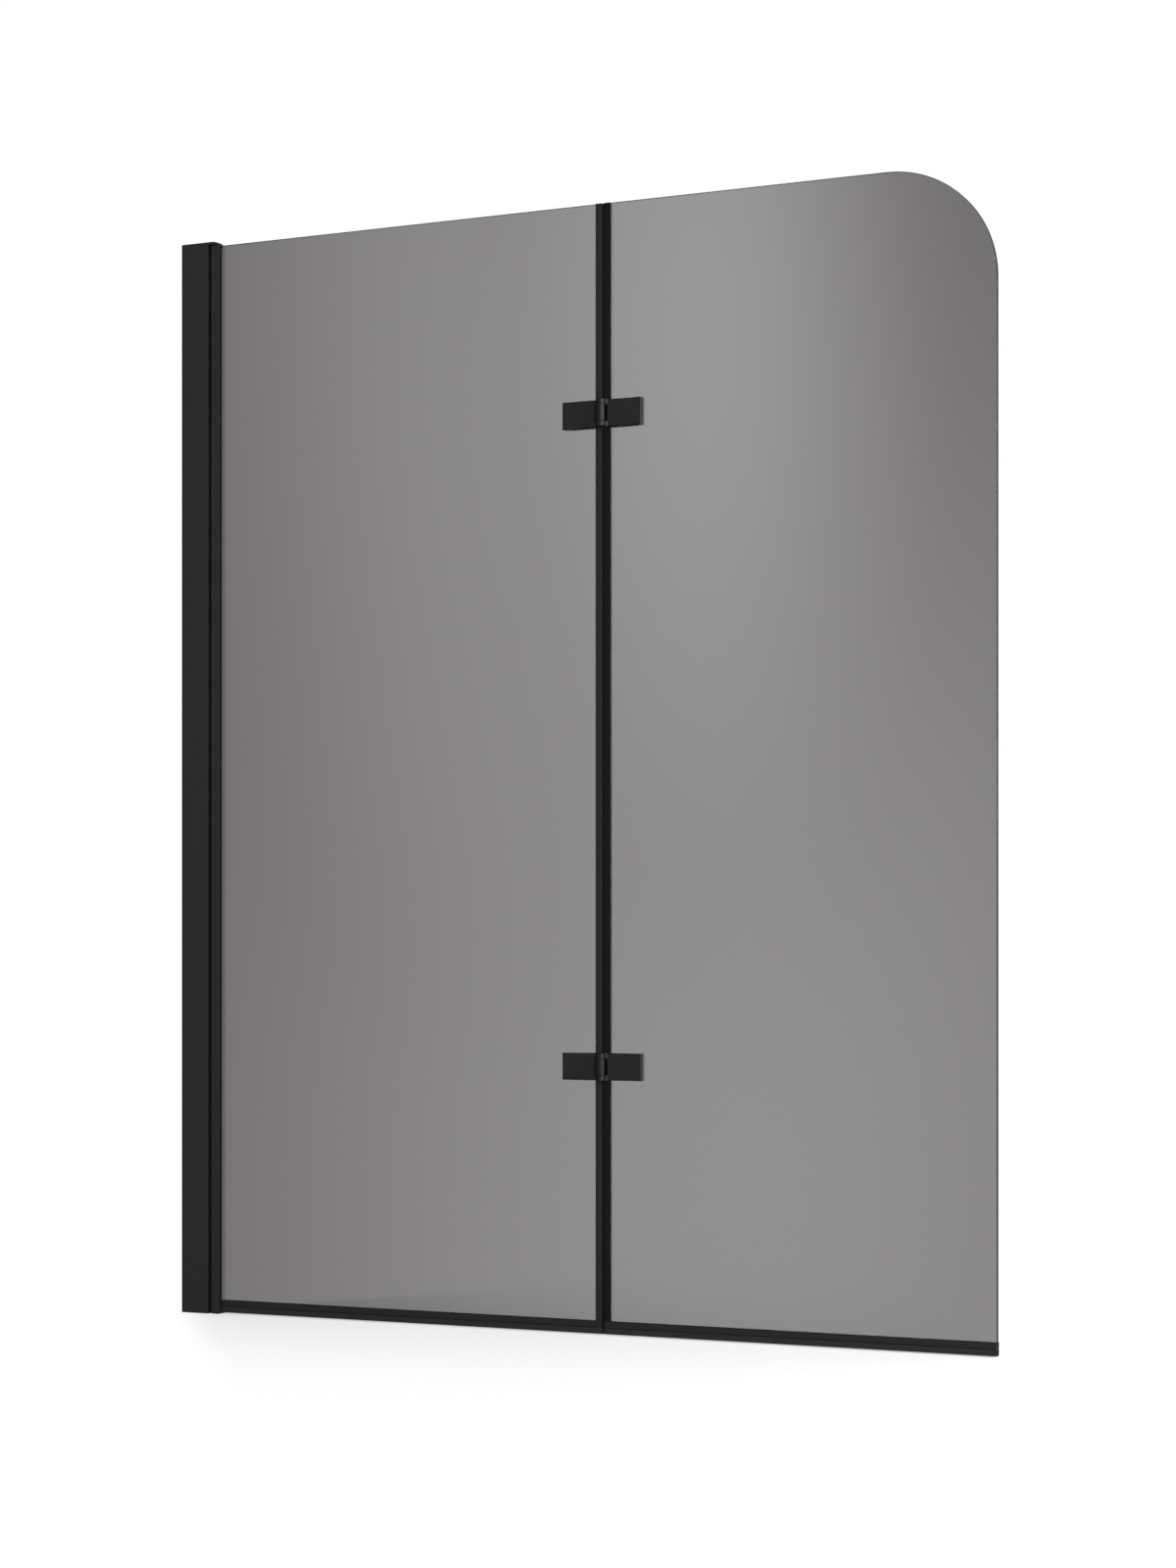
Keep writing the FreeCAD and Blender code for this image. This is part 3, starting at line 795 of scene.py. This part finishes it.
def make_wiper(side, sizes):
    """Soft lower band of a bottom seal: a hollow bar with a fin along its back."""
    node = side + "_wiper"
    low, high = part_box(node)
    half = -low.y
    rounding = sizes.wiper_rounding
    fin = low.z + sizes.fin_rise
    corners = [
        (-half, low.z, rounding),
        (half, low.z, rounding),
        (half, fin, 0),
        (high.y, fin, 0),
        (half, fin + sizes.fin_thickness, 0),
        (half, high.z, rounding),
        (-half, high.z, rounding),
    ]
    bm = bmesh.new()
    add_bar(bm, in_section(corners), ALONG, low.x, high.x)
    wiper = to_object(bm, side + "_wiper_bar")
    wall = sizes.wiper_wall
    inner = [
        (wall - half, low.z + wall, rounding / 2),
        (half - wall, low.z + wall, rounding / 2),
        (half - wall, high.z - wall, rounding / 2),
        (wall - half, high.z - wall, rounding / 2),
    ]
    hollow = bmesh.new()
    add_bar(hollow, in_section(inner), ALONG, low.x - PAST, high.x + PAST)
    combined(wiper, hollow, "DIFFERENCE")
    dressed(wiper, PANEL_BODY[side], "black_rubber", node)


def make_gasket(face, sizes):
    """Wedge between the head and one face of the fixed pane, with a rounded bead where it shows."""
    node = face + "_glazing_gasket"
    low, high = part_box(node)
    glass, outer, side = (low.y, high.y, 1) if face == "back" else (high.y, low.y, -1)
    bead = high.x - sizes.gasket_face
    leg = sizes.gasket_leg * side
    rounding = sizes.bead_rounding
    corners = [
        (low.x, glass, 0),
        (high.x, glass, rounding),
        (high.x, outer, rounding),
        (low.x, outer, 0),
        (low.x, outer - leg, 0),
        (bead, outer - leg, 0),
        (bead, glass + leg, 0),
        (low.x, glass + leg, 0),
    ]
    bm = bmesh.new()
    add_bar(bm, in_plan(corners), UP, low.z, high.z)
    dressed(to_object(bm, face + "_bead"), "fixed_panel", "black_rubber", node)


def cover_profile(base, top, outer, sizes):
    """Half section of a domed cover, as (radius, y) points from the axis round to the axis."""
    shoulder = sizes.cover_rounding
    turns = [math.pi / 2 * step / SHOULDER_STEPS for step in range(SHOULDER_STEPS + 1)]
    arc = [(outer - shoulder * (1 - math.cos(t)), top - shoulder * (1 - math.sin(t))) for t in turns]
    ceiling = top - sizes.cover_wall
    room = sizes.washer_radius
    return [(0, ceiling), (room, ceiling), (room, base), (outer, base), *arc, (0, top)]


def make_covers(sizes):
    """Domed caps that hide the lock screws at the back of the channel."""
    node = "lock_screw_caps"
    low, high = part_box(node)
    outer = (high.x - low.x) / 2
    bm = bmesh.new()
    levels = [low.z + outer, (low.z + high.z) / 2, high.z - outer]
    for level in levels:
        axis = Vector((low.x + outer, 0, level))
        section = cover_profile(low.y, high.y, outer, sizes)
        points = [axis + Vector((radius, y, 0)) for radius, y in section]
        verts = [bm.verts.new(point) for point in points]
        edges = [bm.edges.new(pair) for pair in zip(verts, verts[1:])]
        bmesh.ops.spin(
            bm,
            geom=verts + edges,
            cent=axis,
            axis=THROUGH,
            angle=math.tau,
            steps=CIRCLE_STEPS,
            use_merge=True,
        )
    bmesh.ops.remove_doubles(bm, verts=bm.verts, dist=SAME_PLACE)
    dressed(to_object(bm, "lock_screw_covers"), "fixed_panel", "black_abs", node)


# Stage


def seen_directly(tree, rays):
    """1 for what the camera sees, also through the glass, and 0 for all other light."""
    return add(
        tree,
        "ShaderNodeMath",
        {"operation": "MAXIMUM"},
        _0=rays.outputs["Is Camera Ray"],
        _1=rays.outputs["Is Transmission Ray"],
    ).outputs[0]


def shadow_fade(tree, place):
    """0 at the foot of the screen, and 1 where the floor is plain white."""
    low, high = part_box("fixed_glass")[0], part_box("folding_glass")[1]
    middle = (*centre_of(low, high).xy, 0)
    half = Vector((high.x - low.x, high.y - low.y, 0)) / 2
    ends = (SHADOW_REACH / END_REACH, 1, 1)
    offset = add(tree, "ShaderNodeVectorMath", {"operation": "SUBTRACT"}, _0=place, _1=middle)
    split = add(tree, "ShaderNodeSeparateXYZ", Vector=offset.outputs[0])
    depth = add(tree, "ShaderNodeMath", {"operation": "ABSOLUTE"}, _0=split.outputs["Y"]).outputs[0]
    slid = add(
        tree,
        "ShaderNodeMath",
        {"operation": "MULTIPLY_ADD"},
        _0=depth,
        _1=-SHADOW_SLANT,
        _2=split.outputs["X"],
    )
    slanted = add(tree, "ShaderNodeCombineXYZ", X=slid.outputs[0], Y=depth)
    away = add(tree, "ShaderNodeVectorMath", {"operation": "ABSOLUTE"}, _0=slanted.outputs[0])
    past = add(tree, "ShaderNodeVectorMath", {"operation": "SUBTRACT"}, _0=away.outputs[0], _1=half)
    clear = add(tree, "ShaderNodeVectorMath", {"operation": "MAXIMUM"}, _0=past.outputs[0], _1=(0, 0, 0))
    scaled = add(tree, "ShaderNodeVectorMath", {"operation": "MULTIPLY"}, _0=clear.outputs[0], _1=ends)
    near = add(tree, "ShaderNodeVectorMath", {"operation": "LENGTH"}, _0=scaled.outputs[0])
    return add(
        tree,
        "ShaderNodeMapRange",
        {"interpolation_type": "SMOOTHSTEP"},
        Value=near.outputs["Value"],
        From_Min=0.0,
        From_Max=SHADOW_REACH,
        To_Min=0.0,
        To_Max=1.0,
    ).outputs[0]


def add_floor(colour):
    """Floor that catches the object's shadow near it and is plain white further off."""
    bm = bmesh.new()
    bmesh.ops.create_grid(bm, x_segments=1, y_segments=1, size=FLOOR_REACH)
    floor = to_object(bm, "floor")
    material, tree = new_material("studio_floor")
    place = add(tree, "ShaderNodeTexCoord").outputs["Object"]
    rays = add(tree, "ShaderNodeLightPath")
    fade = shadow_fade(tree, place)
    direct = seen_directly(tree, rays)
    lit = add(tree, "ShaderNodeBsdfDiffuse", Color=colour).outputs[0]
    glow = add(tree, "ShaderNodeEmission", Color=(1, 1, 1, 1), Strength=FLOOR_GLOW).outputs[0]
    white = add(tree, "ShaderNodeEmission", Color=(1, 1, 1, 1), Strength=1.0).outputs[0]
    soft = add(tree, "ShaderNodeMixShader", _0=SHADOW_SHARE, _1=glow, _2=lit).outputs[0]
    seen = add(tree, "ShaderNodeMixShader", _0=fade, _1=soft, _2=white).outputs[0]
    # The mirrored studio shows through the floor, so the panes have no line at its edge
    open_floor = add(tree, "ShaderNodeBsdfTransparent").outputs[0]
    mirrored = rays.outputs["Is Glossy Ray"]
    hidden = add(tree, "ShaderNodeMixShader", _0=mirrored, _1=lit, _2=open_floor).outputs[0]
    surface = add(tree, "ShaderNodeMixShader", _0=direct, _1=hidden, _2=seen).outputs[0]
    add(tree, "ShaderNodeOutputMaterial", Surface=surface)
    floor.data.materials.append(material)


def light_patch(tree, direction, light):
    """Strength of one soft light in a direction."""
    *angles, strength = light
    turn, height, wide, tall = (math.radians(angle) for angle in angles)
    centre = Euler((-height, 0, turn)).to_matrix() @ Vector((0, -1, 0))
    local = add(
        tree,
        "ShaderNodeMapping",
        {"vector_type": "TEXTURE"},
        Vector=direction,
        Location=centre,
        Rotation=(0, 0, turn),
        Scale=(math.sin(wide), 1.0, math.sin(tall)),
    )
    away = add(tree, "ShaderNodeVectorMath", {"operation": "LENGTH"}, _0=local.outputs[0])
    return add(
        tree,
        "ShaderNodeMapRange",
        {"interpolation_type": "SMOOTHSTEP"},
        Value=away.outputs["Value"],
        From_Min=0.0,
        From_Max=1.0,
        To_Min=strength,
        To_Max=0.0,
    ).outputs[0]


def add_world():
    """Studio that is plain white to the camera, also through the glass, with soft lights elsewhere."""
    world = bpy.data.worlds.new("studio")
    world.use_nodes = True
    tree = world.node_tree
    tree.nodes.clear()
    direction = add(tree, "ShaderNodeTexCoord").outputs["Generated"]
    depth = add(tree, "ShaderNodeSeparateXYZ", Vector=direction)
    level = add(
        tree,
        "ShaderNodeMapRange",
        {"interpolation_type": "SMOOTHSTEP"},
        Value=depth.outputs["Y"],
        From_Min=0.0,
        From_Max=BACK_FROM,
        To_Min=FRONT_LEVEL,
        To_Max=BACK_LEVEL,
    ).outputs[0]
    for light in MIRRORED_LIGHTS:
        patch = light_patch(tree, direction, light)
        level = add(tree, "ShaderNodeMath", {"operation": "ADD"}, _0=level, _1=patch).outputs[0]
    studio = add(tree, "ShaderNodeBackground", Color=(1, 1, 1, 1), Strength=level).outputs[0]
    white = add(tree, "ShaderNodeBackground", Color=(1, 1, 1, 1), Strength=1.0).outputs[0]
    direct = seen_directly(tree, add(tree, "ShaderNodeLightPath"))
    seen = add(tree, "ShaderNodeMixShader", _0=direct, _1=studio, _2=white).outputs[0]
    add(tree, "ShaderNodeOutputWorld", Surface=seen)
    bpy.context.scene.world = world


def add_lamp(name, place, width, height, watts):
    """Soft box turned to the screen."""
    lamp = bpy.data.lights.new(name, "AREA")
    lamp.shape = "RECTANGLE"
    lamp.size = width
    lamp.size_y = height
    lamp.energy = watts
    holder = bpy.data.objects.new(name, lamp)
    holder.location = place
    holder.rotation_euler = (Vector(LAMP_TARGET) - Vector(place)).to_track_quat("-Z", "Y").to_euler()
    bpy.context.scene.collection.objects.link(holder)
    return holder


def keep_off(lamp, names):
    """Keeps a lamp's light off some pieces, as a flag on a stand does in a studio."""
    flag = bpy.data.collections.new(lamp.name + "_flag")
    for name in names:
        flag.objects.link(bpy.data.objects[name])
    for item in flag.collection_objects:
        item.light_linking.link_state = "EXCLUDE"
    lamp.light_linking.receiver_collection = flag


def add_camera():
    """Camera that sees the screen as the photograph does."""
    camera = bpy.data.cameras.new("camera")
    camera.lens = CAMERA_LENS
    camera.shift_y = CAMERA_LIFT
    camera.clip_end = CAMERA_REACH
    holder = bpy.data.objects.new("camera", camera)
    holder.location = CAMERA_PLACE
    holder.rotation_euler = (math.pi / 2, 0, CAMERA_TURN)
    bpy.context.scene.collection.objects.link(holder)
    bpy.context.scene.camera = holder


# Operators


class SCREEN_OT_finishes(bpy.types.Operator):
    """Give every metal, plastic and rubber solid of the screen its finish"""

    bl_idname = "screen.finishes"
    bl_label = "Finishes"

    def execute(self, context):
        for node, solid in frame["nodes"].items():
            finish = SPECIAL_FINISHES.get(node, slot_of(node))
            for slot in solid.material_slots:
                slot.material = finish_named(finish)
        return {"FINISHED"}


class SCREEN_OT_panes(bpy.types.Operator):
    """Make the fixed and the folding pane of smoked glass"""

    bl_idname = "screen.panes"
    bl_label = "Panes"

    def execute(self, context):
        for side in SIDES:
            make_pane(side, context.scene.screen_sizes)
        return {"FINISHED"}


class SCREEN_OT_strips(bpy.types.Operator):
    """Make the strips on the pane edges at the joint"""

    bl_idname = "screen.strips"
    bl_label = "Joint strips"

    def execute(self, context):
        for span in SPANS:
            make_fixed_strip(span, context.scene.screen_sizes)
            make_folding_strip(span, context.scene.screen_sizes)
        return {"FINISHED"}


class SCREEN_OT_bottom_seals(bpy.types.Operator):
    """Make the clip and the wiper under each pane"""

    bl_idname = "screen.bottom_seals"
    bl_label = "Bottom seals"

    def execute(self, context):
        for side in SIDES:
            make_bottom_clip(side, context.scene.screen_sizes)
            make_wiper(side, context.scene.screen_sizes)
        return {"FINISHED"}


class SCREEN_OT_gaskets(bpy.types.Operator):
    """Make the gaskets that hold the fixed pane in the head"""

    bl_idname = "screen.gaskets"
    bl_label = "Glazing gaskets"

    def execute(self, context):
        for face in ("front", "back"):
            make_gasket(face, context.scene.screen_sizes)
        return {"FINISHED"}


class SCREEN_OT_covers(bpy.types.Operator):
    """Make the caps over the lock screws"""

    bl_idname = "screen.covers"
    bl_label = "Screw covers"

    def execute(self, context):
        make_covers(context.scene.screen_sizes)
        return {"FINISHED"}


class SCREEN_OT_stage(bpy.types.Operator):
    """Set up the floor, the studio light and the camera"""

    bl_idname = "screen.stage"
    bl_label = "Stage"

    def execute(self, context):
        context.scene.view_settings.view_transform = "Standard"
        add_floor(context.scene.screen_colours.floor)
        add_world()
        add_lamp(*KEY_LAMP)
        keep_off(add_lamp(*SIDE_LAMP), WALL_END)
        add_camera()
        return {"FINISHED"}


class SCREEN_PT_panel(bpy.types.Panel):
    """Sizes, colours and steps of the bath screen"""

    bl_idname = "SCREEN_PT_panel"
    bl_label = "Bath screen"
    bl_space_type = "VIEW_3D"
    bl_region_type = "UI"
    bl_category = "Bath screen"

    def draw(self, context):
        for group in (context.scene.screen_sizes, context.scene.screen_colours):
            box = self.layout.box()
            for name in group.bl_rna.properties.keys():
                if name not in ("name", "rna_type"):
                    box.prop(group, name)
        for step in STEPS:
            self.layout.operator(step.bl_idname)


STEPS = (
    SCREEN_OT_finishes,
    SCREEN_OT_panes,
    SCREEN_OT_strips,
    SCREEN_OT_bottom_seals,
    SCREEN_OT_gaskets,
    SCREEN_OT_covers,
    SCREEN_OT_stage,
)
CLASSES = (ScreenSizes, ScreenColours, *STEPS, SCREEN_PT_panel)


def register():
    for item in CLASSES:
        bpy.utils.register_class(item)
    bpy.types.Scene.screen_sizes = PointerProperty(type=ScreenSizes)
    bpy.types.Scene.screen_colours = PointerProperty(type=ScreenColours)


def unregister():
    del bpy.types.Scene.screen_colours
    del bpy.types.Scene.screen_sizes
    for item in reversed(CLASSES):
        bpy.utils.unregister_class(item)


def main():
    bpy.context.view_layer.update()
    register()
    bpy.ops.screen.finishes()
    bpy.ops.screen.panes()
    bpy.ops.screen.strips()
    bpy.ops.screen.bottom_seals()
    bpy.ops.screen.gaskets()
    bpy.ops.screen.covers()
    bpy.ops.screen.stage()


if __name__ == "__main__":
    main()
